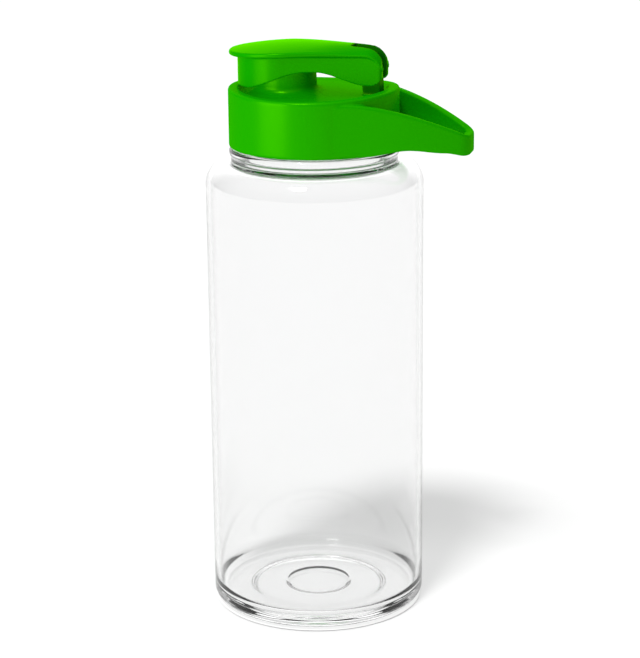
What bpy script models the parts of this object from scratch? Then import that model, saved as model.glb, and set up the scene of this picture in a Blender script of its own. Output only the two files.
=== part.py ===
"""Kids water bottle: clear screw-neck bottle, screw lid with carry loop and spout, hinged flip cap.

Frame: metres, +Z up, origin on the bottle's axis in the plane that it stands on. The carry loop
and the cap's hinge lie towards +X, the spout towards -X.
"""

import math

import bmesh
import bpy
from mathutils import Matrix, Vector

MM = 0.001

# Driving dimensions, in millimetres.
BODY_RADIUS = 37.5
WALL = 1.8
HEEL_RADIUS = 3.6
SHOULDER_TOP = 159.4
SHOULDER_RADIUS = 8.7
NECK_RADIUS = 25.6
NECK_BORE = 23.6
NECK_TOP = 178.0
BEAD_RADIUS = 29.2
BEAD_HEIGHT = 2.4
BASE_THICKNESS = 4.0
FOOT_RING_INNER = 24.0
DIMPLE_RADIUS = 10.9
LID_RADIUS = 29.2
LID_BOTTOM = 164.0
RIM_TOP = 183.0
THREAD_PITCH = 5.0
SPOUT_X = -9.8
SPOUT_TOP = 193.0
SPOUT_BORE = 6.3
SPOUT_FOOT_RADIUS = 12.9
PIN_X = 20.3
PIN_Z = 192.3
PIN_RADIUS = 1.2
PIN_HALF_LENGTH = 4.9
LUG_RADIUS = 3.2
CAP_CREST = 199.0
CUP_X = -11.4
CUP_RADIUS = 17.7
ARM_HALF_WIDTH = 6.6
CAP_END = 25.0
NOTCH_HALF_WIDTH = 3.4
LOOP_REACH = 54.9
LOOP_END_HALF_WIDTH = 9.0
SEAL_PLUG_DEPTH = 2.6
SEAL_DISC_RADIUS = 8.6
GAP = 0.3

# Sizes that follow from them.
SHOULDER_FLAT_RADIUS = BODY_RADIUS - SHOULDER_RADIUS
SHOULDER_CENTRE_Z = SHOULDER_TOP - SHOULDER_RADIUS
SKIRT_BORE = LID_RADIUS - 2.0
DECK_TOP = RIM_TOP - 1.0
DECK_UNDERSIDE = DECK_TOP - 1.8

ROUND = 72


def arc(centre, radius, start, end, count):
    """Points of an arc in a profile, angles in degrees."""
    points = []
    for step in range(count + 1):
        angle = math.radians(start + (end - start) * step / count)
        points.append((centre[0] + radius * math.cos(angle), centre[1] + radius * math.sin(angle)))
    return points


def material(name, colour, roughness, metallic=0.0, alpha=1.0):
    made = bpy.data.materials.new(name)
    made.use_nodes = True
    shader = made.node_tree.nodes["Principled BSDF"]
    shader.inputs["Base Color"].default_value = (*colour, 1.0)
    shader.inputs["Roughness"].default_value = roughness
    shader.inputs["Metallic"].default_value = metallic
    shader.inputs["Alpha"].default_value = alpha
    return made


def mesh_object(name, rings, closed_tube=False, caps=True, origin=(0, 0, 0), paint=None):
    """A body skinned over rings of points that all have the same count, in millimetres."""
    bm = bmesh.new()
    shift = Vector(origin)
    loops = [[bm.verts.new((Vector(point) - shift) * MM) for point in ring] for ring in rings]
    pairs = list(zip(loops, loops[1:]))
    if closed_tube:
        pairs.append((loops[-1], loops[0]))
    for lower, upper in pairs:
        for index in range(len(lower)):
            after = (index + 1) % len(lower)
            bm.faces.new((lower[index], lower[after], upper[after], upper[index]))
    if caps and not closed_tube:
        for ring in (loops[0], loops[-1]):
            if len(ring) > 2:
                bm.faces.new(ring)
    return finish_mesh(name, bm, origin, paint)


def finish_mesh(name, bm, origin, paint):
    bmesh.ops.remove_doubles(bm, verts=bm.verts, dist=1e-7)
    axis_edges = [edge for edge in bm.edges if not edge.link_faces]
    bmesh.ops.delete(bm, geom=axis_edges, context="EDGES")
    bmesh.ops.recalc_face_normals(bm, faces=bm.faces)
    mesh = bpy.data.meshes.new(name)
    bm.to_mesh(mesh)
    bm.free()
    made = bpy.data.objects.new(name, mesh)
    made.location = Vector(origin) * MM
    bpy.context.collection.objects.link(made)
    if paint:
        mesh.materials.append(paint)
    mesh.shade_smooth()
    mesh.set_sharp_from_angle(angle=math.radians(35))
    return made


def lathe(name, profile, centre=(0, 0), segments=ROUND, paint=None):
    """A closed profile of (radius, z) turned about the vertical through centre."""
    rings = []
    for step in range(segments):
        angle = math.tau * step / segments
        out = Vector((math.cos(angle), math.sin(angle)))
        rings.append([(centre[0] + r * out.x, centre[1] + r * out.y, z) for r, z in profile])
    origin = (centre[0], centre[1], 0)
    return mesh_object(name, rings, closed_tube=True, origin=origin, paint=paint)


def helix_ridge(name, root, crest, first_z, first_turn, turns):
    """A screw thread's ridge on a wall of radius root, its ends run out to nothing."""
    steps = int(turns * 48)
    rings = []
    for step in range(steps + 1):
        turn = first_turn + turns * step / steps
        angle = math.tau * turn
        runout = min(1.0, 0.02 + 8.0 * min(step, steps - step) / steps)
        tip = root + (crest - root) * runout
        back = root - math.copysign(0.4, crest - root)
        z = first_z + THREAD_PITCH * turn
        crest_half = 0.9 - 0.5 * runout
        section = ((back, z - 0.9), (tip, z - crest_half), (tip, z + crest_half), (back, z + 0.9))
        out = Vector((math.cos(angle), math.sin(angle)))
        rings.append([(r * out.x, r * out.y, height) for r, height in section])
    return mesh_object(name, rings)


def prism(name, outline, low, high):
    """A block between two heights along Y over an outline in the XZ plane."""
    return mesh_object(name, [[(x, y, z) for x, z in outline] for y in (low, high)])


def combine(target, tool, operation):
    """Leave a Boolean on the target, with the tool kept as a hidden cutter."""
    tool.hide_render = True
    tool.display_type = "WIRE"
    change = target.modifiers.new(f"{operation} {tool.name}", "BOOLEAN")
    change.operation = operation
    change.object = tool


def bottle(paint):
    inner_radius = BODY_RADIUS - WALL
    waist_radius = SHOULDER_FLAT_RADIUS - 0.6
    profile = [(NECK_BORE, NECK_TOP), (NECK_RADIUS, NECK_TOP)]
    bead_z = LID_BOTTOM - 0.6 - BEAD_HEIGHT / 2
    profile += [(NECK_RADIUS, bead_z + BEAD_HEIGHT / 2)]
    profile += arc((BEAD_RADIUS - BEAD_HEIGHT / 2, bead_z), BEAD_HEIGHT / 2, 90, -90, 6)
    profile += [(waist_radius, bead_z - BEAD_HEIGHT / 2), (waist_radius, SHOULDER_TOP + 0.4)]
    profile += [(waist_radius + 0.4, SHOULDER_TOP)]
    profile += arc((SHOULDER_FLAT_RADIUS, SHOULDER_CENTRE_Z), SHOULDER_RADIUS, 84, 0, 6)
    profile += arc((BODY_RADIUS - HEEL_RADIUS, HEEL_RADIUS), HEEL_RADIUS, 0, -90, 4)
    profile += [(FOOT_RING_INNER, 0.0), (FOOT_RING_INNER - 1.4, 1.5), (DIMPLE_RADIUS + 0.7, 1.5)]
    profile += [(DIMPLE_RADIUS, 0.9), (0.0, 0.9)]
    profile += [(0.0, BASE_THICKNESS - 0.4), (DIMPLE_RADIUS - 0.3, BASE_THICKNESS - 0.4)]
    profile += [(DIMPLE_RADIUS + 0.4, BASE_THICKNESS), (30.5, BASE_THICKNESS)]
    profile += arc((inner_radius - 4.5, 8.5), 4.5, -90, 0, 4)[1:]
    inner_shoulder = arc((SHOULDER_FLAT_RADIUS, SHOULDER_CENTRE_Z), SHOULDER_RADIUS - WALL, 0, 82, 5)
    profile += inner_shoulder
    inner_top = SHOULDER_TOP - WALL
    profile += [(NECK_BORE + 1.2, inner_top), (NECK_BORE, inner_top + 1.0)]
    made = lathe("bottle", profile, paint=paint)
    thread = helix_ridge("bottle_thread", NECK_RADIUS, NECK_RADIUS + 1.2, 167.2, 0.0, 1.6)
    combine(made, thread, "UNION")
    return made


def loop_outline():
    """Half of the carry loop's outer outline, from inside the collar's wall to the middle of its end."""
    corner = 6.5
    collar = LID_RADIUS - 0.12
    first, leave, arrive = math.radians(84), math.radians(68), math.radians(57)
    corner_centre = Vector((LOOP_REACH - corner, LOOP_END_HALF_WIDTH - corner))
    points = []
    for step in range(6):
        angle = first + (leave - first) * step / 6
        direction = Vector((math.cos(angle), math.sin(angle)))
        points.append((direction * collar, direction))
    p0 = Vector((math.cos(leave), math.sin(leave))) * collar
    d0 = Vector((math.sin(leave), -math.cos(leave)))
    p1 = corner_centre + corner * Vector((math.cos(arrive), math.sin(arrive)))
    d1 = Vector((math.sin(arrive), -math.cos(arrive)))
    reach = (p1 - p0).length
    steps = 16
    for step in range(steps):
        t = step / steps
        point = (2 * t**3 - 3 * t**2 + 1) * p0 + (3 * t**2 - 2 * t**3) * p1
        point += reach * ((t**3 - 2 * t**2 + t) * d0 + (t**3 - t**2) * d1)
        slope = (6 * t**2 - 6 * t) * (p0 - p1)
        slope += reach * ((3 * t**2 - 4 * t + 1) * d0 + (3 * t**2 - 2 * t) * d1)
        slope.normalize()
        points.append((point, Vector((-slope.y, slope.x))))
    for step in range(7):
        angle = arrive * (1 - step / 6)
        direction = Vector((math.cos(angle), math.sin(angle)))
        points.append((corner_centre + direction * corner, direction))
    points.append((Vector((LOOP_REACH, 0.0)), Vector((1.0, 0.0))))
    return points


def smooth_step(value, low, high):
    t = min(1.0, max(0.0, (value - low) / (high - low)))
    return t * t * (3 - 2 * t)


def loop_section(x, along):
    """The loop's thickness, underside and top at a place along it."""
    thickness = 1.5 + 1.5 * smooth_step(along, 0.12, 0.4)
    top = RIM_TOP - 0.9 - 11.7 * max(0.0, (x - 17.0) / 37.0) ** 1.6
    underside = LID_BOTTOM + 0.4 + 1.6 * math.sin(math.pi * smooth_step(x, 22.0, 50.0))
    underside -= 1.4 * smooth_step(x, 48.0, LOOP_REACH)
    return thickness, underside, top


def carry_loop():
    half = loop_outline()
    outline = half + [(Vector((p.x, -p.y)), Vector((n.x, -n.y))) for p, n in reversed(half[:-1])]
    rings = []
    for index, (point, normal) in enumerate(outline):
        along = 1 - abs(2 * index / (len(outline) - 1) - 1)
        thickness, low, high = loop_section(point.x, along)
        ease = 0.7
        section = (
            (0.0, low + ease), (0.0, high - ease), (ease, high), (thickness - ease, high),
            (thickness, high - ease), (thickness, low + ease), (thickness - ease, low), (ease, low),
        )
        rings.append([(*(point - normal * depth), z) for depth, z in section])
    return mesh_object("lid_loop", rings)


def lift_rim(point):
    """Raise the collar's rim at the spout and hinge ends and let it dip at the back."""
    radius = math.hypot(point.x, point.y) / MM
    share = smooth_step(point.z / MM, RIM_TOP - 2.6, RIM_TOP - 1.0) * smooth_step(radius, 24.6, 25.8)
    across = point.y / MM / max(radius, 1.0)
    point.z += share * (1.2 - 1.0 * across**2 - 0.9 * max(0.0, across) ** 2) * MM


def lid(paint):
    rim_round = 1.0
    profile = [(SKIRT_BORE, LID_BOTTOM + 0.4), (SKIRT_BORE + 0.4, LID_BOTTOM)]
    profile += arc((LID_RADIUS - 0.6, LID_BOTTOM + 0.6), 0.6, -90, 0, 3)
    profile += arc((LID_RADIUS - rim_round, RIM_TOP - rim_round), rim_round, 0, 90, 5)
    profile += [(26.3, RIM_TOP), (25.6, RIM_TOP - 0.25), (24.6, DECK_TOP), (0.0, DECK_TOP + 0.2)]
    profile += [(0.0, DECK_UNDERSIDE), (SKIRT_BORE, DECK_UNDERSIDE)]
    made = lathe("lid", profile, paint=paint)
    for vert in made.data.vertices:
        lift_rim(vert.co)
    thread_first = 167.2 + THREAD_PITCH / 2
    thread = helix_ridge("lid_thread", SKIRT_BORE, SKIRT_BORE - 1.1, thread_first, -0.5, 1.25)
    combine(made, thread, "UNION")
    combine(made, carry_loop(), "UNION")
    spread = SPOUT_FOOT_RADIUS + 0.7
    cone = [(0.0, DECK_TOP - 0.8), (spread, DECK_TOP - 0.8), (spread, DECK_TOP + 0.3)]
    cone += [(SPOUT_FOOT_RADIUS, DECK_TOP + 0.5)]
    cone += arc((SPOUT_FOOT_RADIUS, DECK_TOP + 2.7), 2.3, -98, -172, 5)
    cone += arc((9.4, SPOUT_TOP - 1.0), 1.0, 10, 90, 4)
    cone += [(0.0, SPOUT_TOP)]
    combine(made, lathe("lid_spout", cone, centre=(SPOUT_X, 0), segments=48), "UNION")
    lug = [(24.0, DECK_TOP - 0.8), (17.9, DECK_TOP - 0.8), (PIN_X - LUG_RADIUS, PIN_Z)]
    lug += arc((PIN_X, PIN_Z), LUG_RADIUS, 180, 10, 8)[1:]
    combine(made, prism("lid_lug", lug, GAP - NOTCH_HALF_WIDTH, NOTCH_HALF_WIDTH - GAP), "UNION")
    bore = [(0.0, DECK_UNDERSIDE - 1.0), (SPOUT_BORE, DECK_UNDERSIDE - 1.0), (SPOUT_BORE, SPOUT_TOP + 1.0)]
    bore += [(0.0, SPOUT_TOP + 1.0)]
    pin_round = arc((PIN_X, PIN_Z), PIN_RADIUS + GAP, 0, 337.5, 15)
    pin_hole = prism("lug_bore", pin_round, -PIN_HALF_LENGTH, PIN_HALF_LENGTH)
    combine(made, pin_hole, "DIFFERENCE")
    combine(made, lathe("spout_bore", bore, centre=(SPOUT_X, 0), segments=34), "DIFFERENCE")
    return made


def gasket(paint):
    low, high = NECK_TOP + GAP, DECK_UNDERSIDE - GAP
    inside, outside = NECK_BORE - 0.2, NECK_RADIUS + 0.8
    profile = [(inside, low), (outside, low), (outside, high), (inside, high)]
    return lathe("lid_gasket", profile, paint=paint)


def cap_half_width(x):
    return CUP_RADIUS - (CUP_RADIUS - ARM_HALF_WIDTH) * min(1.0, max(0.0, (x - CUP_X) / (CAP_END - CUP_X)))


def cap_crown(x, y):
    """Height of the flip cap's pillowed top, which rolls over at the hinge end."""
    across = 1.5 + 1.0 * smooth_step(x, 0.0, 18.0)
    height = CAP_CREST - min(0.0, x + 2.0) ** 2 / 280.0 - max(0.0, x - 4.0) ** 2 / 450.0
    height -= across * (y / cap_half_width(x)) ** 2
    roll = 5.3
    beyond = min(roll, max(0.0, x - (CAP_END - roll)))
    return height - (roll - math.sqrt(roll**2 - beyond**2))


def cap_edge_height(x):
    """Height of the lower edge of the cap's side wall: low round the cup, arched, low at the arms."""
    height = RIM_TOP + 1.6 + 5.8 * smooth_step(x, -22.0, 0.0) - 4.8 * smooth_step(x, 3.0, 21.0)
    roll = 3.4
    beyond = min(roll, max(0.0, x - (CAP_END - roll)))
    return height + roll - math.sqrt(roll**2 - beyond**2)


def teardrop(cup_radius, hinge_half_width, hinge_end, corner):
    """Plan outline: a round cup that narrows along tangents to a blunt hinge end with round corners."""
    lean = math.asin((cup_radius - hinge_half_width) / (hinge_end - corner - CUP_X))
    half = arc((hinge_end - corner, hinge_half_width - corner), corner, 0, 90 - math.degrees(lean), 4)
    flank_start = Vector(half[-1])
    cup_arc = arc((CUP_X, 0.0), cup_radius, 90 - math.degrees(lean), 180, 16)
    flank_end = Vector(cup_arc[0])
    flank = [tuple(flank_start.lerp(flank_end, step / 8)) for step in range(1, 8)]
    half = [(hinge_end, 0.0), (hinge_end, 3.0)] + half + flank + cup_arc
    return half + [(x, -y) for x, y in reversed(half[1:-1])]


def flip_cap(paint):
    centre = Vector((-4.0, 0.0))
    plate = [Vector(p) for p in teardrop(CUP_RADIUS, ARM_HALF_WIDTH, CAP_END, 1.6)]
    wall = [Vector(p) for p in teardrop(CUP_RADIUS - 2.9, ARM_HALF_WIDTH - 0.2, CAP_END - 0.1, 1.6)]
    cavity = [Vector(p) for p in teardrop(CUP_RADIUS - 4.3, ARM_HALF_WIDTH + 1.4, 9.0, 1.6)]
    thickness = 2.0

    def ring(outline, share, height):
        points = [centre + (p - centre) * share for p in outline]
        return [(p.x, p.y, height(p.x, p.y)) for p in points]

    def lip(outline, share, depth):
        """A ring hung from the plate's edge by a share of the lip's depth, which fades to the hinge."""
        points = []
        for edge, (x, y, _) in zip(plate, ring(outline, share, cap_crown)):
            lip_depth = 1.5 - 0.8 * smooth_step(x, 0.0, 18.0)
            points.append((x, y, cap_crown(edge.x, edge.y) - depth * lip_depth))
        return points

    rings = [ring(plate, share, cap_crown) for share in (0.02, 0.3, 0.55, 0.75, 0.86, 0.93, 0.97)]
    rings += [lip(plate, 1.0, 0.35), lip(plate, 1.0, 0.8), lip(plate, 0.99, 1.0)]
    rings += [lip(wall, 1.0, 1.1)]
    rings += [ring(wall, 1.0, lambda x, y: 0.4 * cap_crown(x, y) + 0.6 * cap_edge_height(x))]
    rings += [ring(wall, 1.0, lambda x, y: cap_edge_height(x))]
    for share in (0.25, 0.5, 0.75):
        between = [a.lerp(b, share) for a, b in zip(wall, cavity)]
        rings += [ring(between, 1.0, lambda x, y: cap_edge_height(x))]
    rings += [ring(cavity, 1.0, lambda x, y: cap_edge_height(x))]
    for share in (1.0, 0.8, 0.5, 0.02):
        rings += [ring(cavity, share, lambda x, y: cap_crown(x, y) - thickness)]
    made = mesh_object("flip_cap", rings, origin=(PIN_X, 0.0, PIN_Z), paint=paint)
    notch_floor, notch_roof = RIM_TOP - 3.0, CAP_CREST + 3.0
    slot = [(14.0, notch_floor), (27.0, notch_floor), (27.0, notch_roof), (14.0, notch_roof)]
    notch = prism("hinge_notch", slot, -NOTCH_HALF_WIDTH, NOTCH_HALF_WIDTH)
    combine(made, notch, "DIFFERENCE")
    pin_round = arc((PIN_X, PIN_Z), PIN_RADIUS + GAP, 0, 337.5, 15)
    pin_hole = prism("arm_bore", pin_round, -PIN_HALF_LENGTH - GAP, PIN_HALF_LENGTH + GAP)
    combine(made, pin_hole, "DIFFERENCE")
    return made


def spout_seal(paint):
    disc_low, disc_high = SPOUT_TOP + 0.4, SPOUT_TOP + 1.9
    plug = SPOUT_BORE - 0.4
    plug_foot = SPOUT_TOP - SEAL_PLUG_DEPTH
    profile = [(0.0, disc_low), (plug - 1.6, disc_low), (plug - 1.6, plug_foot)]
    profile += [(plug - 0.5, plug_foot), (plug, plug_foot + 0.6), (plug, disc_low)]
    profile += [(SEAL_DISC_RADIUS, disc_low), (SEAL_DISC_RADIUS, disc_high), (0.0, disc_high)]
    return lathe("spout_seal", profile, centre=(SPOUT_X, 0), segments=40, paint=paint)


def hinge_pin(paint):
    outline = arc((0.0, 0.0), PIN_RADIUS, 0, 345, 23)
    made = prism("hinge_pin", outline, -PIN_HALF_LENGTH, PIN_HALF_LENGTH)
    made.data.materials.append(paint)
    made.location = Vector((PIN_X, 0.0, PIN_Z)) * MM
    return made


def build():
    for existing in list(bpy.data.objects):
        bpy.data.objects.remove(existing)
    clear = material("clear_copolyester", (0.93, 0.95, 0.96), 0.04, alpha=0.35)
    green = material("green_polypropylene", (0.05, 0.42, 0.0), 0.22)
    cap_green = material("green_flip_cap", (0.05, 0.42, 0.0), 0.2)
    soft = material("silicone", (0.85, 0.86, 0.85), 0.55)
    seal_soft = material("seal_silicone", (0.85, 0.86, 0.85), 0.55)
    steel = material("stainless_pin", (0.6, 0.6, 0.6), 0.25, metallic=1.0)
    bottle(clear)
    lid(green)
    gasket(soft)
    cap = flip_cap(cap_green)
    seal = spout_seal(seal_soft)
    seal.parent = cap
    seal.matrix_parent_inverse = Matrix.Translation(-cap.location)
    hinge_pin(steel)


build()
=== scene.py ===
"""Looks for the kids water bottle: clear blown body, glossy green screw lid and flip cap."""
import math

import bmesh
import bpy
from mathutils import Matrix, Vector


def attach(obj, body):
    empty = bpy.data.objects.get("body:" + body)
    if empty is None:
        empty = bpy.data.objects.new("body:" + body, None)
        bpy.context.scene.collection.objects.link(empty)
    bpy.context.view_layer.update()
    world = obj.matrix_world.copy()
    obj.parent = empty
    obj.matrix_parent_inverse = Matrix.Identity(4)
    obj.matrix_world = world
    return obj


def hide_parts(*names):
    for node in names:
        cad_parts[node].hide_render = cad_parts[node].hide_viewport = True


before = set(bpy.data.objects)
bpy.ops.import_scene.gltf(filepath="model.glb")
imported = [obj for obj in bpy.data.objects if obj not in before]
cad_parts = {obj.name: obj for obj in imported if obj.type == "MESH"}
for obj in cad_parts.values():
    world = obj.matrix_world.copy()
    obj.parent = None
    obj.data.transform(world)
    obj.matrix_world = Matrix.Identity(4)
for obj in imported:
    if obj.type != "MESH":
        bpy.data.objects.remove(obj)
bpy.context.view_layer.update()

MM = 0.001

# Sizes shared with the CAD model, in millimetres.
BODY_RADIUS = 37.5
WALL = 1.8
HEEL_RADIUS = 3.6
SHOULDER_TOP = 159.4
SHOULDER_RADIUS = 8.7
SHOULDER_FLAT_RADIUS = BODY_RADIUS - SHOULDER_RADIUS
SHOULDER_CENTRE_Z = SHOULDER_TOP - SHOULDER_RADIUS
NECK_RADIUS = 25.6
NECK_BORE = 23.6
NECK_TOP = 178.0
BEAD_RADIUS = 29.2
BEAD_HEIGHT = 2.4
BASE_THICKNESS = 4.0
FOOT_RING_INNER = 24.0
DIMPLE_RADIUS = 10.9
LID_RADIUS = 29.2
LID_BOTTOM = 164.0
RIM_TOP = 183.0
SKIRT_BORE = LID_RADIUS - 2.0
DECK_TOP = RIM_TOP - 1.0
DECK_UNDERSIDE = DECK_TOP - 1.8
THREAD_PITCH = 5.0
THREAD_START = 167.2
THREAD_TURNS = 1.6
THREAD_HEIGHT = 1.2
SPOUT_X = -9.8
SPOUT_TOP = 193.0
SPOUT_BORE = 6.3
SPOUT_FOOT_RADIUS = 12.9
PIN_X = 20.3
PIN_Z = 192.3
PIN_RADIUS = 1.2
PIN_HALF_LENGTH = 4.9
LUG_RADIUS = 3.2
CAP_CREST = 199.0
CUP_X = -11.4
CUP_RADIUS = 17.7
ARM_HALF_WIDTH = 6.6
CAP_END = 25.0
NOTCH_HALF_WIDTH = 3.4
LOOP_REACH = 54.9
LOOP_END_HALF_WIDTH = 9.0
SEAL_PLUG_DEPTH = 2.6
SEAL_DISC_RADIUS = 8.6
GAP = 0.3

ROUND = 224
PIN_HOLE_ROUND = (0, 345, 23)


# Mesh helpers

def smooth_step(value, low, high):
    t = min(1.0, max(0.0, (value - low) / (high - low)))
    return t * t * (3 - 2 * t)


def arc(centre, radius, start, end, count):
    """Points of an arc, angles in degrees."""
    points = []
    for step in range(count + 1):
        angle = math.radians(start + (end - start) * step / count)
        points.append((centre[0] + radius * math.cos(angle), centre[1] + radius * math.sin(angle)))
    return points


def eased(corners, steps=5):
    """A closed outline through (a, b, ease) corners, each rounded over its ease length."""
    path = []
    count = len(corners)
    for index, (a, b, ease) in enumerate(corners):
        here = Vector((a, b))
        before = Vector(corners[index - 1][:2])
        after = Vector(corners[(index + 1) % count][:2])
        if ease <= 0:
            path.append(tuple(here))
            continue
        start = here + (before - here).normalized() * min(ease, 0.49 * (before - here).length)
        end = here + (after - here).normalized() * min(ease, 0.49 * (after - here).length)
        for step in range(steps + 1):
            t = step / steps
            point = (1 - t) ** 2 * start + 2 * t * (1 - t) * here + t * t * end
            path.append(tuple(point))
    return path


def finish_mesh(name, bm):
    bmesh.ops.remove_doubles(bm, verts=bm.verts, dist=2e-7)
    strays = [edge for edge in bm.edges if not edge.link_faces]
    bmesh.ops.delete(bm, geom=strays, context="EDGES")
    bmesh.ops.recalc_face_normals(bm, faces=bm.faces)
    mesh = bpy.data.meshes.new(name)
    bm.to_mesh(mesh)
    bm.free()
    mesh.shade_smooth()
    made = bpy.data.objects.new(name, mesh)
    bpy.context.collection.objects.link(made)
    return made


def skin(name, rings, closed=False):
    """A closed body over rings of points in millimetres, all with the same count."""
    bm = bmesh.new()
    loops = [[bm.verts.new(Vector(point) * MM) for point in ring] for ring in rings]
    pairs = list(zip(loops, loops[1:]))
    if closed:
        pairs.append((loops[-1], loops[0]))
    for lower, upper in pairs:
        for index in range(len(lower)):
            after = (index + 1) % len(lower)
            bm.faces.new((lower[index], lower[after], upper[after], upper[index]))
    if not closed:
        bm.faces.new(loops[0])
        bm.faces.new(loops[-1])
    return finish_mesh(name, bm)


def lathe(name, profile, centre=(0.0, 0.0), segments=ROUND, swell=None):
    """A closed (radius, z) profile turned about the vertical through centre."""
    rings = []
    for step in range(segments):
        angle = math.tau * step / segments
        ring = []
        for r, z in profile:
            out = r + (swell(angle, r, z) if swell else 0.0)
            ring.append((centre[0] + out * math.cos(angle), centre[1] + out * math.sin(angle), z))
        rings.append(ring)
    return skin(name, rings, closed=True)


def prism(name, outline, low, high, ease=0.0):
    """A block along Y over an outline in the XZ plane, its ends rounded in by ease."""
    middle = Vector((sum(p[0] for p in outline), sum(p[1] for p in outline))) / len(outline)
    rings = []
    for y, inset in ((low, ease), (low + 0.3 * ease, 0.3 * ease), (low + ease, 0.0),
                     (high - ease, 0.0), (high - 0.3 * ease, 0.3 * ease), (high, ease)):
        if ease == 0.0 and rings and y == rings[-1][0][1]:
            continue
        ring = []
        for x, z in outline:
            inward = middle - Vector((x, z))
            moved = Vector((x, z)) + inward.normalized() * inset
            ring.append((moved.x, y, moved.y))
        rings.append(ring)
    return skin(name, rings)


def cut(target, tool):
    change = target.modifiers.new("cut", "BOOLEAN")
    change.operation = "DIFFERENCE"
    change.object = tool
    settle(target)
    bpy.data.objects.remove(tool)


def settle(obj):
    """Apply an object's modifiers to its mesh."""
    depsgraph = bpy.context.evaluated_depsgraph_get()
    mesh = bpy.data.meshes.new_from_object(obj.evaluated_get(depsgraph))
    obj.modifiers.clear()
    old = obj.data
    obj.data = mesh
    bpy.data.meshes.remove(old)


def mould(name, parts, voxel, passes):
    """Melt overlapping closed bodies into one moulding with small fillets where they meet."""
    bm = bmesh.new()
    for part in parts:
        bm.from_mesh(part.data)
        bpy.data.objects.remove(part)
    mesh = bpy.data.meshes.new(name)
    bm.to_mesh(mesh)
    bm.free()
    made = bpy.data.objects.new(name, mesh)
    bpy.context.collection.objects.link(made)
    melt = made.modifiers.new("melt", "REMESH")
    melt.mode = "VOXEL"
    melt.voxel_size = voxel * MM
    melt.use_smooth_shade = True
    relax = made.modifiers.new("relax", "SMOOTH")
    relax.factor = 0.5
    relax.iterations = passes
    settle(made)
    made.data.shade_smooth()
    return made


# Shapes

def thread_swell(angle, r, z):
    """Height of the neck's screw thread above its wall."""
    if abs(r - NECK_RADIUS) > 0.01:
        return 0.0
    height = 0.0
    for turn in (angle / math.tau, 1 + angle / math.tau):
        if turn <= THREAD_TURNS:
            off = abs(z - (THREAD_START + THREAD_PITCH * turn))
            ends = smooth_step(turn, 0.0, 0.12) * (1 - smooth_step(turn, THREAD_TURNS - 0.12, THREAD_TURNS))
            height = max(height, THREAD_HEIGHT * ends * (1 - smooth_step(off, 0.35, 0.95)))
    return height


def bottle_shell():
    inner_radius = BODY_RADIUS - WALL
    bead_high = LID_BOTTOM - 0.6
    bead_low = bead_high - BEAD_HEIGHT
    waist = SHOULDER_FLAT_RADIUS - 0.6
    thread_top, thread_bottom, thread_row = 176.6, 164.8, 0.25
    rows = int((thread_top - thread_bottom) / thread_row)
    wall_row, wall_top, wall_foot = 6.0, 150.0, 14.0
    outside = eased([(NECK_BORE, 170.0, 0), (NECK_BORE, NECK_TOP, 0.6), (NECK_RADIUS, NECK_TOP, 0.6),
                     (NECK_RADIUS, thread_top + 0.1, 0)])[:-1]
    profile = outside + [(NECK_RADIUS, thread_top - thread_row * row) for row in range(rows)]
    turns = eased([
        (NECK_RADIUS, thread_bottom - 0.2, 0), (NECK_RADIUS, bead_high, 0.5), (BEAD_RADIUS, bead_high, 1.0),
        (BEAD_RADIUS, bead_low, 1.0), (waist, bead_low - 0.4, 0.5), (waist, SHOULDER_TOP, 0.9),
        (SHOULDER_FLAT_RADIUS + 1.0, SHOULDER_TOP, 0)], 8)
    profile += turns[:-1]
    profile += arc((SHOULDER_FLAT_RADIUS, SHOULDER_CENTRE_Z), SHOULDER_RADIUS, 82, 0, 24)
    profile += [(BODY_RADIUS, wall_top - wall_row * step) for step in range(24)]
    profile += arc((BODY_RADIUS - HEEL_RADIUS, HEEL_RADIUS), HEEL_RADIUS, 0, -90, 14)
    hollow, dimple = 1.5, 0.9
    pad = BASE_THICKNESS - 0.4
    profile += eased([(30.0, 0.0, 0), (FOOT_RING_INNER, 0.0, 0.9), (FOOT_RING_INNER - 1.4, hollow, 0.9),
                      (DIMPLE_RADIUS + 0.7, hollow, 0.5), (DIMPLE_RADIUS, dimple, 0.5), (0.0, dimple, 0)])
    profile += eased([(0.0, pad, 0), (DIMPLE_RADIUS - 0.3, pad, 0.4),
                      (DIMPLE_RADIUS + 0.4, BASE_THICKNESS, 0.4), (30.5, BASE_THICKNESS, 0)])
    profile += arc((inner_radius - 4.5, 8.5), 4.5, -84, 0, 12)
    profile += [(inner_radius, wall_foot + wall_row * step) for step in range(23)]
    profile += arc((SHOULDER_FLAT_RADIUS, SHOULDER_CENTRE_Z), SHOULDER_RADIUS - WALL, 0, 78, 20)
    inner_top = SHOULDER_TOP - WALL
    profile += eased([(29.4, inner_top - 0.05, 0), (NECK_BORE, inner_top, 1.4), (NECK_BORE, 162.0, 0)], 8)
    return lathe("bottle_shell", profile, swell=thread_swell)


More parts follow.
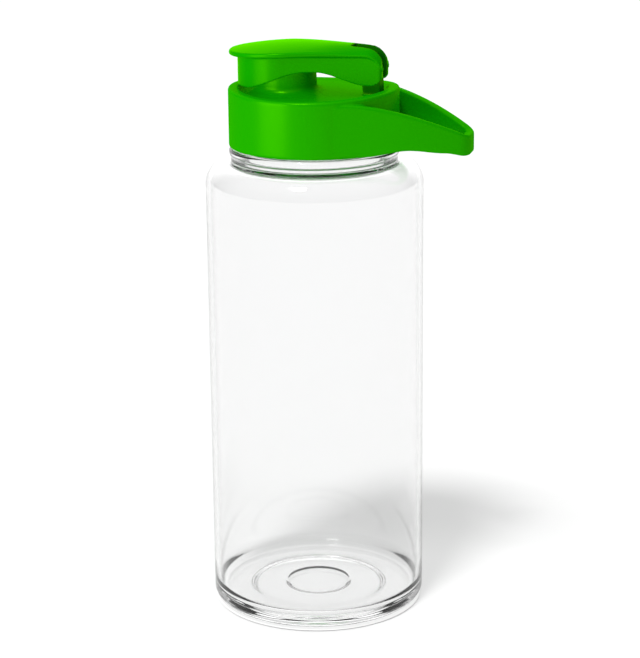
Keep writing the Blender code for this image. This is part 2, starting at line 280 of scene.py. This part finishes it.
def loop_outline():
    """Half of the carry loop's outer outline, from inside the collar's wall to the middle of its end."""
    corner = 6.5
    collar = LID_RADIUS - 0.12
    first, leave, arrive = math.radians(84), math.radians(68), math.radians(57)
    corner_centre = Vector((LOOP_REACH - corner, LOOP_END_HALF_WIDTH - corner))
    points = []
    for step in range(12):
        angle = first + (leave - first) * step / 12
        direction = Vector((math.cos(angle), math.sin(angle)))
        points.append((direction * collar, direction))
    p0 = Vector((math.cos(leave), math.sin(leave))) * collar
    d0 = Vector((math.sin(leave), -math.cos(leave)))
    p1 = corner_centre + corner * Vector((math.cos(arrive), math.sin(arrive)))
    d1 = Vector((math.sin(arrive), -math.cos(arrive)))
    reach = (p1 - p0).length
    steps = 48
    for step in range(steps):
        t = step / steps
        point = (2 * t**3 - 3 * t**2 + 1) * p0 + (3 * t**2 - 2 * t**3) * p1
        point += reach * ((t**3 - 2 * t**2 + t) * d0 + (t**3 - t**2) * d1)
        slope = (6 * t**2 - 6 * t) * (p0 - p1)
        slope += reach * ((3 * t**2 - 4 * t + 1) * d0 + (3 * t**2 - 2 * t) * d1)
        slope.normalize()
        points.append((point, Vector((-slope.y, slope.x))))
    for step in range(19):
        angle = arrive * (1 - step / 18)
        direction = Vector((math.cos(angle), math.sin(angle)))
        points.append((corner_centre + direction * corner, direction))
    points.append((Vector((LOOP_REACH, 0.0)), Vector((1.0, 0.0))))
    return points


def carry_loop():
    half = loop_outline()
    outline = half + [(Vector((p.x, -p.y)), Vector((n.x, -n.y))) for p, n in reversed(half[:-1])]
    rings = []
    for index, (point, normal) in enumerate(outline):
        along = 1 - abs(2 * index / (len(outline) - 1) - 1)
        thickness = 1.5 + 1.5 * smooth_step(along, 0.12, 0.4)
        high = RIM_TOP - 0.9 - 11.7 * max(0.0, (point.x - 17.0) / 37.0) ** 1.6
        low = LID_BOTTOM + 0.4 + 1.6 * math.sin(math.pi * smooth_step(point.x, 22.0, 50.0))
        low -= 1.4 * smooth_step(point.x, 48.0, LOOP_REACH)
        section = eased([(0.0, low, 0.7), (0.0, high, 0.8), (thickness, high, 0.8), (thickness, low, 0.7)])
        rings.append([(*(point - normal * depth), z) for depth, z in section])
    return skin("loop", rings)


def helix_ridge(name, root, crest, first_z, first_turn, turns):
    steps = int(turns * 120)
    rings = []
    for step in range(steps + 1):
        turn = first_turn + turns * step / steps
        angle = math.tau * turn
        runout = min(1.0, 0.02 + 8.0 * min(step, steps - step) / steps)
        tip = root + (crest - root) * runout
        back = root - math.copysign(0.6, crest - root)
        z = first_z + THREAD_PITCH * turn
        crest_half = 0.9 - 0.5 * runout
        section = ((back, z - 0.9), (tip, z - crest_half), (tip, z + crest_half), (back, z + 0.9))
        out = Vector((math.cos(angle), math.sin(angle)))
        rings.append([(r * out.x, r * out.y, height) for r, height in section])
    return skin(name, rings)


def lift_rim(point):
    """Raise the collar's rim at the spout and hinge ends and let it dip at the back."""
    radius = math.hypot(point.x, point.y) / MM
    share = smooth_step(point.z / MM, RIM_TOP - 2.6, RIM_TOP - 1.0) * smooth_step(radius, 24.6, 25.8)
    across = point.y / MM / max(radius, 1.0)
    point.z += share * (1.2 - 1.0 * across**2 - 0.9 * max(0.0, across) ** 2) * MM


def lid_moulding():
    collar = lathe("collar", eased([
        (SKIRT_BORE, LID_BOTTOM, 0.5), (LID_RADIUS, LID_BOTTOM, 0.7), (LID_RADIUS, RIM_TOP, 1.1),
        (25.6, RIM_TOP, 1.0), (24.4, DECK_TOP, 1.2), (0.0, DECK_TOP + 0.2, 0), (0.0, DECK_UNDERSIDE, 0),
        (SKIRT_BORE, DECK_UNDERSIDE, 0.6)], 6))
    for vert in collar.data.vertices:
        lift_rim(vert.co)
    bore_low = DECK_UNDERSIDE - 1.0
    opening = [(0.0, bore_low), (SPOUT_BORE, bore_low), (SPOUT_BORE, DECK_TOP + 2.0), (0.0, DECK_TOP + 2.0)]
    cut(collar, lathe("opening", opening, centre=(SPOUT_X, 0.0), segments=90))
    spread_out = SPOUT_FOOT_RADIUS + 0.7
    tube = [(SPOUT_BORE, DECK_UNDERSIDE), (spread_out, DECK_UNDERSIDE + 0.4), (spread_out, DECK_TOP + 0.2)]
    tube += [(SPOUT_FOOT_RADIUS, DECK_TOP + 0.4)]
    tube += arc((SPOUT_FOOT_RADIUS, DECK_TOP + 2.7), 2.3, -98, -172, 12)
    tube += arc((9.4, SPOUT_TOP - 1.0), 1.0, 10, 90, 8)
    tube += eased([(8.6, SPOUT_TOP, 0), (SPOUT_BORE, SPOUT_TOP, 0.5), (SPOUT_BORE, SPOUT_TOP - 3.0, 0)])[1:]
    spout = lathe("spout", tube, centre=(SPOUT_X, 0.0), segments=120)
    lug_outline = [(24.0, DECK_TOP - 1.2), (17.9, DECK_TOP - 1.2), (PIN_X - LUG_RADIUS, PIN_Z)]
    lug_outline += arc((PIN_X, PIN_Z), LUG_RADIUS, 180, 10, 24)[1:]
    lug = prism("lug", lug_outline, GAP - NOTCH_HALF_WIDTH, NOTCH_HALF_WIDTH - GAP, 0.25)
    hole = arc((PIN_X, PIN_Z), PIN_RADIUS + GAP, *PIN_HOLE_ROUND)
    cut(lug, prism("pin_hole", hole, -PIN_HALF_LENGTH - 1.1, PIN_HALF_LENGTH + 1.1))
    thread = helix_ridge("thread", SKIRT_BORE, SKIRT_BORE - 1.1, THREAD_START + THREAD_PITCH / 2, -0.5, 1.25)
    return mould("lid_moulding", [collar, spout, lug, thread, carry_loop()], 0.3, 5)


def cap_half_width(x):
    return CUP_RADIUS - (CUP_RADIUS - ARM_HALF_WIDTH) * min(1.0, max(0.0, (x - CUP_X) / (CAP_END - CUP_X)))


def cap_crown(x, y):
    """Height of the flip cap's pillowed top, which rolls over at the hinge end."""
    across = 1.5 + 1.0 * smooth_step(x, 0.0, 18.0)
    height = CAP_CREST - min(0.0, x + 2.0) ** 2 / 280.0 - max(0.0, x - 4.0) ** 2 / 450.0
    height -= across * (y / cap_half_width(x)) ** 2
    roll = 5.3
    beyond = min(roll, max(0.0, x - (CAP_END - roll)))
    return height - (roll - math.sqrt(roll**2 - beyond**2))


def cap_edge_height(x):
    """Height of the lower edge of the cap's side wall: low round the cup, arched, low at the arms."""
    height = RIM_TOP + 1.6 + 5.8 * smooth_step(x, -22.0, 0.0) - 4.8 * smooth_step(x, 3.0, 21.0)
    roll = 3.4
    beyond = min(roll, max(0.0, x - (CAP_END - roll)))
    return height + roll - math.sqrt(roll**2 - beyond**2)


def teardrop(cup_radius, hinge_half_width, hinge_end, corner):
    """Plan outline: a round cup that narrows along tangents to a blunt hinge end with round corners."""
    lean = math.asin((cup_radius - hinge_half_width) / (hinge_end - corner - CUP_X))
    half = arc((hinge_end - corner, hinge_half_width - corner), corner, 0, 90 - math.degrees(lean), 8)
    flank_start = Vector(half[-1])
    cup_arc = arc((CUP_X, 0.0), cup_radius, 90 - math.degrees(lean), 180, 48)
    flank_end = Vector(cup_arc[0])
    flank = [tuple(flank_start.lerp(flank_end, step / 28)) for step in range(1, 28)]
    face = hinge_half_width - corner
    half = [(hinge_end, face * step / 5) for step in range(5)] + half + flank + cup_arc
    return half + [(x, -y) for x, y in reversed(half[1:-1])]


def cap_moulding():
    centre = Vector((-4.0, 0.0))
    plate = [Vector(p) for p in teardrop(CUP_RADIUS, ARM_HALF_WIDTH, CAP_END, 1.6)]
    wall = [Vector(p) for p in teardrop(CUP_RADIUS - 2.9, ARM_HALF_WIDTH - 0.2, CAP_END - 0.1, 1.6)]
    cavity = [Vector(p) for p in teardrop(CUP_RADIUS - 4.3, ARM_HALF_WIDTH + 1.4, 9.0, 1.6)]
    thickness = 2.0

    def ring(outline, share, height):
        points = [centre + (p - centre) * share for p in outline]
        return [(p.x, p.y, height(p.x, p.y)) for p in points]

    def lip(outline, share, depth):
        """A ring hung from the plate's edge by a share of the lip's depth, which fades to the hinge."""
        points = []
        for edge, (x, y, _) in zip(plate, ring(outline, share, cap_crown)):
            lip_depth = 1.5 - 0.8 * smooth_step(x, 0.0, 18.0)
            points.append((x, y, cap_crown(edge.x, edge.y) - depth * lip_depth))
        return points

    shares = [0.02, 0.1, 0.2, 0.3, 0.4, 0.5, 0.6, 0.7, 0.78, 0.85, 0.9, 0.94, 0.965, 0.985]
    rings = [ring(plate, share, cap_crown) for share in shares]
    edge = ((0.995, 0.15), (1.0, 0.35), (1.0, 0.75), (0.993, 0.95), (0.98, 1.05))
    rings += [lip(plate, share, depth) for share, depth in edge]
    rings += [lip(wall, 1.02, 1.12), lip(wall, 1.0, 1.3)]
    for share in (0.25, 0.5, 0.75, 1.0):
        def between(x, y, share=share):
            return (1 - share) * (cap_crown(x, y) - thickness) + share * cap_edge_height(x)
        rings += [ring(wall, 1.0, between)]
    for share in (0.2, 0.4, 0.6, 0.8, 1.0):
        middle = [a.lerp(b, share) for a, b in zip(wall, cavity)]
        rings += [ring(middle, 1.0, lambda x, y: cap_edge_height(x))]
    for share in (1.0, 0.9, 0.75, 0.5, 0.25, 0.02):
        rings += [ring(cavity, share, lambda x, y: cap_crown(x, y) - thickness)]
    cap = skin("cap", rings)
    floor, roof = RIM_TOP - 3.0, CAP_CREST + 3.0
    slot = [(14.0, floor), (27.0, floor), (27.0, roof), (14.0, roof)]
    cut(cap, prism("slot", slot, -NOTCH_HALF_WIDTH, NOTCH_HALF_WIDTH))
    hole = arc((PIN_X, PIN_Z), PIN_RADIUS + GAP, *PIN_HOLE_ROUND)
    cut(cap, prism("pin_hole", hole, -PIN_HALF_LENGTH - GAP, PIN_HALF_LENGTH + GAP))
    return mould("cap_moulding", [cap], 0.22, 5)


def seal_ring():
    low, high = NECK_TOP + GAP, DECK_UNDERSIDE - GAP
    inside, outside = NECK_BORE - 0.2, NECK_RADIUS + 0.8
    section = eased([(inside, low, 0.4), (outside, low, 0.4), (outside, high, 0.4), (inside, high, 0.4)])
    return lathe("gasket_ring", section, segments=160)


def plug_seal():
    disc_low, disc_high = SPOUT_TOP + 0.4, SPOUT_TOP + 1.9
    plug = SPOUT_BORE - 0.4
    foot = SPOUT_TOP - SEAL_PLUG_DEPTH
    section = eased([
        (0.0, disc_low, 0), (plug - 1.6, disc_low, 0.3), (plug - 1.6, foot, 0.5), (plug, foot, 0.7),
        (plug, disc_low, 0.3), (SEAL_DISC_RADIUS, disc_low, 0.4), (SEAL_DISC_RADIUS, disc_high, 0.4),
        (0.0, disc_high, 0)])
    return lathe("plug_seal", section, centre=(SPOUT_X, 0.0), segments=120)


def steel_pin():
    end = PIN_HALF_LENGTH
    profile = eased([(0.0, -end, 0), (PIN_RADIUS, -end, 0.25), (PIN_RADIUS, end, 0.25), (0.0, end, 0)])
    made = lathe("steel_pin", profile, segments=48)
    seat = Matrix.Translation((PIN_X * MM, 0.0, PIN_Z * MM))
    made.data.transform(seat @ Matrix.Rotation(math.pi / 2, 4, "X"))
    return made


# Materials

def new_material(name, colour, roughness):
    made = bpy.data.materials.new(name)
    made.use_nodes = True
    shader = made.node_tree.nodes["Principled BSDF"]
    shader.inputs["Base Color"].default_value = (*colour, 1.0)
    shader.inputs["Roughness"].default_value = roughness
    return made, made.node_tree, shader


def noise(tree, scale, detail=3.0, stretch=(1.0, 1.0, 1.0)):
    """Procedural noise in the object's own space, in features per metre."""
    where = tree.nodes.new("ShaderNodeTexCoord")
    placed = tree.nodes.new("ShaderNodeMapping")
    placed.inputs["Scale"].default_value = stretch
    tree.links.new(where.outputs["Object"], placed.inputs["Vector"])
    made = tree.nodes.new("ShaderNodeTexNoise")
    made.inputs["Scale"].default_value = scale
    made.inputs["Detail"].default_value = detail
    tree.links.new(placed.outputs["Vector"], made.inputs["Vector"])
    return made.outputs["Fac"]


def spread(tree, value, low, high, start=0.0, end=1.0, curve="LINEAR"):
    """Map a value that runs from start to end onto low to high."""
    made = tree.nodes.new("ShaderNodeMapRange")
    made.interpolation_type = curve
    made.inputs["From Min"].default_value = start
    made.inputs["From Max"].default_value = end
    made.inputs["To Min"].default_value = low
    made.inputs["To Max"].default_value = high
    tree.links.new(value, made.inputs["Value"])
    return made.outputs["Result"]


def ramp(tree, value, start, end):
    return spread(tree, value, 0.0, 1.0, start, end)


def combine(tree, operation, first, second):
    made = tree.nodes.new("ShaderNodeMath")
    made.operation = operation
    tree.links.new(first, made.inputs[0])
    tree.links.new(second, made.inputs[1])
    return made.outputs["Value"]


def own_axes(tree):
    """The X, Y and Z of a place in the object's own space."""
    where = tree.nodes.new("ShaderNodeTexCoord")
    parts = tree.nodes.new("ShaderNodeSeparateXYZ")
    tree.links.new(where.outputs["Object"], parts.inputs["Vector"])
    return parts.outputs


def colour_mix(tree, factor, first, second):
    """Mix two colours, each a plain colour or another node's output."""
    made = tree.nodes.new("ShaderNodeMix")
    made.data_type = "RGBA"
    tree.links.new(factor, made.inputs["Factor"])
    for name, colour in (("A", first), ("B", second)):
        if isinstance(colour, tuple):
            made.inputs[name].default_value = (*colour, 1.0)
        else:
            tree.links.new(colour, made.inputs[name])
    return made.outputs["Result"]


def facing(tree):
    """0 where a surface faces the ray and 1 where it turns edge-on."""
    made = tree.nodes.new("ShaderNodeLayerWeight")
    made.inputs["Blend"].default_value = 0.5
    return made.outputs["Facing"]


def blend_shaders(tree, amount, first, second):
    """Mix two shaders into the material's surface."""
    made = tree.nodes.new("ShaderNodeMixShader")
    tree.links.new(amount, made.inputs["Fac"])
    tree.links.new(first, made.inputs[1])
    tree.links.new(second, made.inputs[2])
    tree.links.new(made.outputs["Shader"], tree.nodes["Material Output"].inputs["Surface"])


def bump(tree, shader, height, distance, strength):
    made = tree.nodes.new("ShaderNodeBump")
    made.inputs["Distance"].default_value = distance
    made.inputs["Strength"].default_value = strength
    tree.links.new(height, made.inputs["Height"])
    tree.links.new(made.outputs["Normal"], shader.inputs["Normal"])


def painted_shade_mask(tree, start, end, half_width):
    """Mask for painted shade: 1 in the hinge slot from start to end along X and within half_width of the
    middle, in metres.
    """
    side_ease, end_ease = 0.0002, 0.0003
    axes = own_axes(tree)
    side = tree.nodes.new("ShaderNodeMath")
    side.operation = "ABSOLUTE"
    tree.links.new(axes["Y"], side.inputs[0])
    inside = ramp(tree, side.outputs["Value"], half_width + side_ease, half_width)
    inside = combine(tree, "MULTIPLY", inside, ramp(tree, axes["X"], start, start + end_ease))
    return combine(tree, "MULTIPLY", inside, ramp(tree, axes["X"], end, end - end_ease))


def green_plastic(name, grazing_gloss, slot_start, slot_end, slot_half_width):
    """Satin green moulding with painted shade in the hinge slot, and a green gloss that grows at grazing
    angles.
    """
    made, tree, shader = new_material(name, (0.005, 0.28, 0.0), 0.5)
    moulded = colour_mix(tree, noise(tree, 60.0), (0.002, 0.272, 0.0), (0.003, 0.286, 0.0))
    # Painted shade: the base colour turns dark green inside the hinge slot, where shade falls.
    slot = painted_shade_mask(tree, slot_start, slot_end, slot_half_width)
    painted_slot_shade = colour_mix(tree, slot, moulded, (0.0, 0.09, 0.0))
    tree.links.new(painted_slot_shade, shader.inputs["Base Color"])
    shader.inputs["Specular IOR Level"].default_value = 0.0
    gloss = tree.nodes.new("ShaderNodeBsdfGlossy")
    gloss.inputs["Color"].default_value = (0.2, 1.0, 0.0, 1.0)
    tree.links.new(spread(tree, noise(tree, 900.0, 2.0), 0.28, 0.34), gloss.inputs["Roughness"])
    amount = tree.nodes.new("ShaderNodeFloatCurve")
    points = amount.mapping.curves[0].points
    points[0].location = (0.0, 0.065)
    points[1].location = (1.0, 2.0 * grazing_gloss)
    for place_on_curve in ((0.62, 0.07), (0.75, 0.05 + 0.4 * grazing_gloss), (0.85, grazing_gloss)):
        points.new(*place_on_curve)
    amount.mapping.update()
    tree.links.new(facing(tree), amount.inputs["Value"])
    blend_shaders(tree, amount.outputs["Value"], shader.outputs["BSDF"], gloss.outputs["BSDF"])
    bump(tree, shader, noise(tree, 5000.0, 2.0), 0.00002, 0.25)
    return made


def clear_plastic():
    """Clear polished wall with painted edge shade: its straight part darkens where it turns edge-on; shadows
    pass through it.
    """
    plain = (0.950, 0.951, 0.951)
    edge_shade_greys = ((0.70, 0.94), (0.80, 0.90), (0.87, 0.68), (1.0, 0.50))
    made, tree, shader = new_material("clear_copolyester_polished", (0.966, 0.967, 0.967), 0.04)
    # Painted edge shade: the base colour greys as the straight wall turns edge-on.
    shade = tree.nodes.new("ShaderNodeValToRGB")
    stops = shade.color_ramp.elements
    stops[0].position = 0.0
    stops[0].color = (*plain, 1.0)
    stops.remove(stops[1])
    for position, grey in edge_shade_greys:
        stops.new(position).color = (grey, grey, grey, 1.0)
    tree.links.new(facing(tree), shade.inputs["Fac"])
    height = own_axes(tree)["Z"]
    below_shoulder = ramp(tree, height, 0.1535, 0.1480)
    above_heel = ramp(tree, height, 0.006, 0.014)
    straight = combine(tree, "MULTIPLY", below_shoulder, above_heel)
    tree.links.new(colour_mix(tree, straight, plain, shade.outputs["Color"]), shader.inputs["Base Color"])
    shader.inputs["Transmission Weight"].default_value = 1.0
    shader.inputs["IOR"].default_value = 1.5
    bump(tree, shader, noise(tree, 45.0, 1.0, (1.0, 1.0, 0.35)), 0.0004, 0.06)
    passing = tree.nodes.new("ShaderNodeBsdfTransparent")
    passing.inputs["Color"].default_value = (0.68, 0.68, 0.68, 1.0)
    path = tree.nodes.new("ShaderNodeLightPath")
    blend_shaders(tree, path.outputs["Is Shadow Ray"], shader.outputs["BSDF"], passing.outputs["BSDF"])
    return made


def silicone():
    made, tree, shader = new_material("silicone_soft", (0.82, 0.83, 0.82), 0.5)
    shader.inputs["Subsurface Weight"].default_value = 0.4
    shader.inputs["Subsurface Scale"].default_value = 0.001
    bump(tree, shader, noise(tree, 2500.0, 2.0), 0.00003, 0.3)
    return made


def steel():
    made, tree, shader = new_material("pin_steel", (0.6, 0.6, 0.6), 0.25)
    shader.inputs["Metallic"].default_value = 1.0
    grain = noise(tree, 4000.0, 2.0, (1.0, 0.05, 1.0))
    tree.links.new(spread(tree, grain, 0.18, 0.32), shader.inputs["Roughness"])
    bump(tree, shader, grain, 0.00002, 0.2)
    return made


def place(obj, body, node, paint):
    obj.data.materials.clear()
    obj.data.materials.append(paint)
    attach(obj, body)
    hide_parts(node)


shell = bottle_shell()
shell.visible_diffuse = False
place(shell, "bottle", "bottle", clear_plastic())
# Painted shade on the lid's hinge lug, which sits between the cap's arms.
lid_green = green_plastic("lid_green", 0.12, slot_start=0.0170, slot_end=0.0245, slot_half_width=0.0032)
lid_body = lid_moulding()
place(lid_body, "lid", "lid", lid_green)
# Painted shade on the faces inside the cap's hinge slot.
cap_green = green_plastic("cap_green", 0.36, slot_start=0.0135, slot_end=0.0260, slot_half_width=0.0037)
cap_body = cap_moulding()
cap_body.visible_shadow = False
place(cap_body, "cap", "flip_cap", cap_green)
soft = silicone()
place(seal_ring(), "gasket", "lid_gasket", soft)
place(plug_seal(), "cap", "spout_seal", soft)
place(steel_pin(), "lid", "hinge_pin", steel())


# Studio

CAMERA_AZIMUTH = math.radians(14.5)
CAMERA_TILT = math.radians(16.14)
CAMERA_ROLL = math.radians(-0.55)
CAMERA_DISTANCE = 0.720
CAMERA_HEIGHT = 0.3063
CAMERA_SIDESTEP = 0.00135
FOCAL_LENGTH = 116.83
FLOOR_DROP = 0.0008
DISC_DROP = 0.0004
DISC_RADIUS = 0.0368


def toward(azimuth, elevation):
    """Unit vector from the bottle, in degrees; azimuth 0 is the camera's side and rises to its right."""
    turn = CAMERA_AZIMUTH + math.radians(azimuth)
    rise = math.radians(elevation)
    return Vector((math.sin(turn) * math.cos(rise), -math.cos(turn) * math.cos(rise), math.sin(rise)))


def floor():
    bm = bmesh.new()
    bmesh.ops.create_grid(bm, x_segments=8, y_segments=8, size=4.0)
    bmesh.ops.translate(bm, verts=bm.verts, vec=(0.0, 0.0, -FLOOR_DROP))
    made = finish_mesh("floor", bm)
    paint, tree, shader = new_material("studio_floor", (0.9, 0.9, 0.9), 0.9)
    shader.inputs["Specular IOR Level"].default_value = 0.0
    made.data.materials.append(paint)


def glow():
    """A light-table disc under the bottle, so that its clear foot stays pale inside its own shadow."""
    bm = bmesh.new()
    bmesh.ops.create_circle(bm, cap_ends=True, segments=96, radius=DISC_RADIUS)
    bmesh.ops.translate(bm, verts=bm.verts, vec=(0.0, 0.0, -DISC_DROP))
    made = finish_mesh("glow", bm)
    paint, tree, shader = new_material("light_table", (0.9, 0.9, 0.9), 0.9)
    shader.inputs["Specular IOR Level"].default_value = 0.0
    shader.inputs["Emission Color"].default_value = (1.0, 1.0, 1.0, 1.0)
    shader.inputs["Emission Strength"].default_value = 0.1
    made.data.materials.append(paint)


def sky():
    """A white world, darker below, with a bright backdrop behind the bottle."""
    world = bpy.data.worlds.new("studio")
    bpy.context.scene.world = world
    world.use_nodes = True
    tree = world.node_tree
    where = tree.nodes.new("ShaderNodeTexCoord")
    parts = tree.nodes.new("ShaderNodeSeparateXYZ")
    tree.links.new(where.outputs["Generated"], parts.inputs["Vector"])
    rise = spread(tree, parts.outputs["Z"], 0.24, 0.79, curve="SMOOTHSTEP")
    away = tree.nodes.new("ShaderNodeVectorMath")
    away.operation = "DOT_PRODUCT"
    away.inputs[1].default_value = toward(180.0, 8.0)
    tree.links.new(where.outputs["Generated"], away.inputs[0])
    backdrop = spread(tree, away.outputs["Value"], 0.0, 1.1, 0.55, 0.95, "SMOOTHSTEP")
    background = tree.nodes["Background"]
    background.inputs["Color"].default_value = (1.0, 1.0, 1.0, 1.0)
    tree.links.new(combine(tree, "ADD", rise, backdrop), background.inputs["Strength"])


def aim(obj, target):
    obj.rotation_euler = (target - obj.location).to_track_quat("-Z", "Y").to_euler()


def lights():
    key = bpy.data.lights.new("key", "SUN")
    key.energy = 1.52
    key.angle = math.radians(12.0)
    sun = bpy.data.objects.new("key", key)
    sun.location = toward(-27.0, 62.0)
    bpy.context.collection.objects.link(sun)
    aim(sun, Vector((0.0, 0.0, 0.0)))
    box = bpy.data.lights.new("softbox", "AREA")
    box.shape = "RECTANGLE"
    box.size = 0.42
    box.size_y = box.size
    box.energy = 2.4
    panel = bpy.data.objects.new("softbox", box)
    panel.location = toward(-56.0, 8.0) * 0.6 + Vector((0.0, 0.0, 0.17))
    bpy.context.collection.objects.link(panel)
    aim(panel, Vector((0.0, 0.0, 0.15)))
    lit = bpy.data.collections.new("softbox_lit")
    for shown in (lid_body, cap_body):
        lit.objects.link(shown)
    panel.light_linking.receiver_collection = lit


def camera():
    lens = bpy.data.cameras.new("camera")
    lens.lens = FOCAL_LENGTH
    lens.sensor_width = 36.0
    lens.clip_start = 0.01
    made = bpy.data.objects.new("camera", lens)
    bpy.context.collection.objects.link(made)
    made.location = toward(0.0, 0.0) * CAMERA_DISTANCE + Vector((0.0, 0.0, CAMERA_HEIGHT))
    right = Vector((math.cos(CAMERA_AZIMUTH), math.sin(CAMERA_AZIMUTH), 0.0))
    made.location += right * CAMERA_SIDESTEP
    turn = Matrix.Rotation(CAMERA_AZIMUTH, 4, "Z") @ Matrix.Rotation(math.pi / 2 - CAMERA_TILT, 4, "X")
    made.rotation_euler = (turn @ Matrix.Rotation(CAMERA_ROLL, 4, "Z")).to_euler()
    bpy.context.scene.camera = made


floor()
glow()
sky()
lights()
camera()
bpy.context.scene.view_settings.view_transform = "Standard"
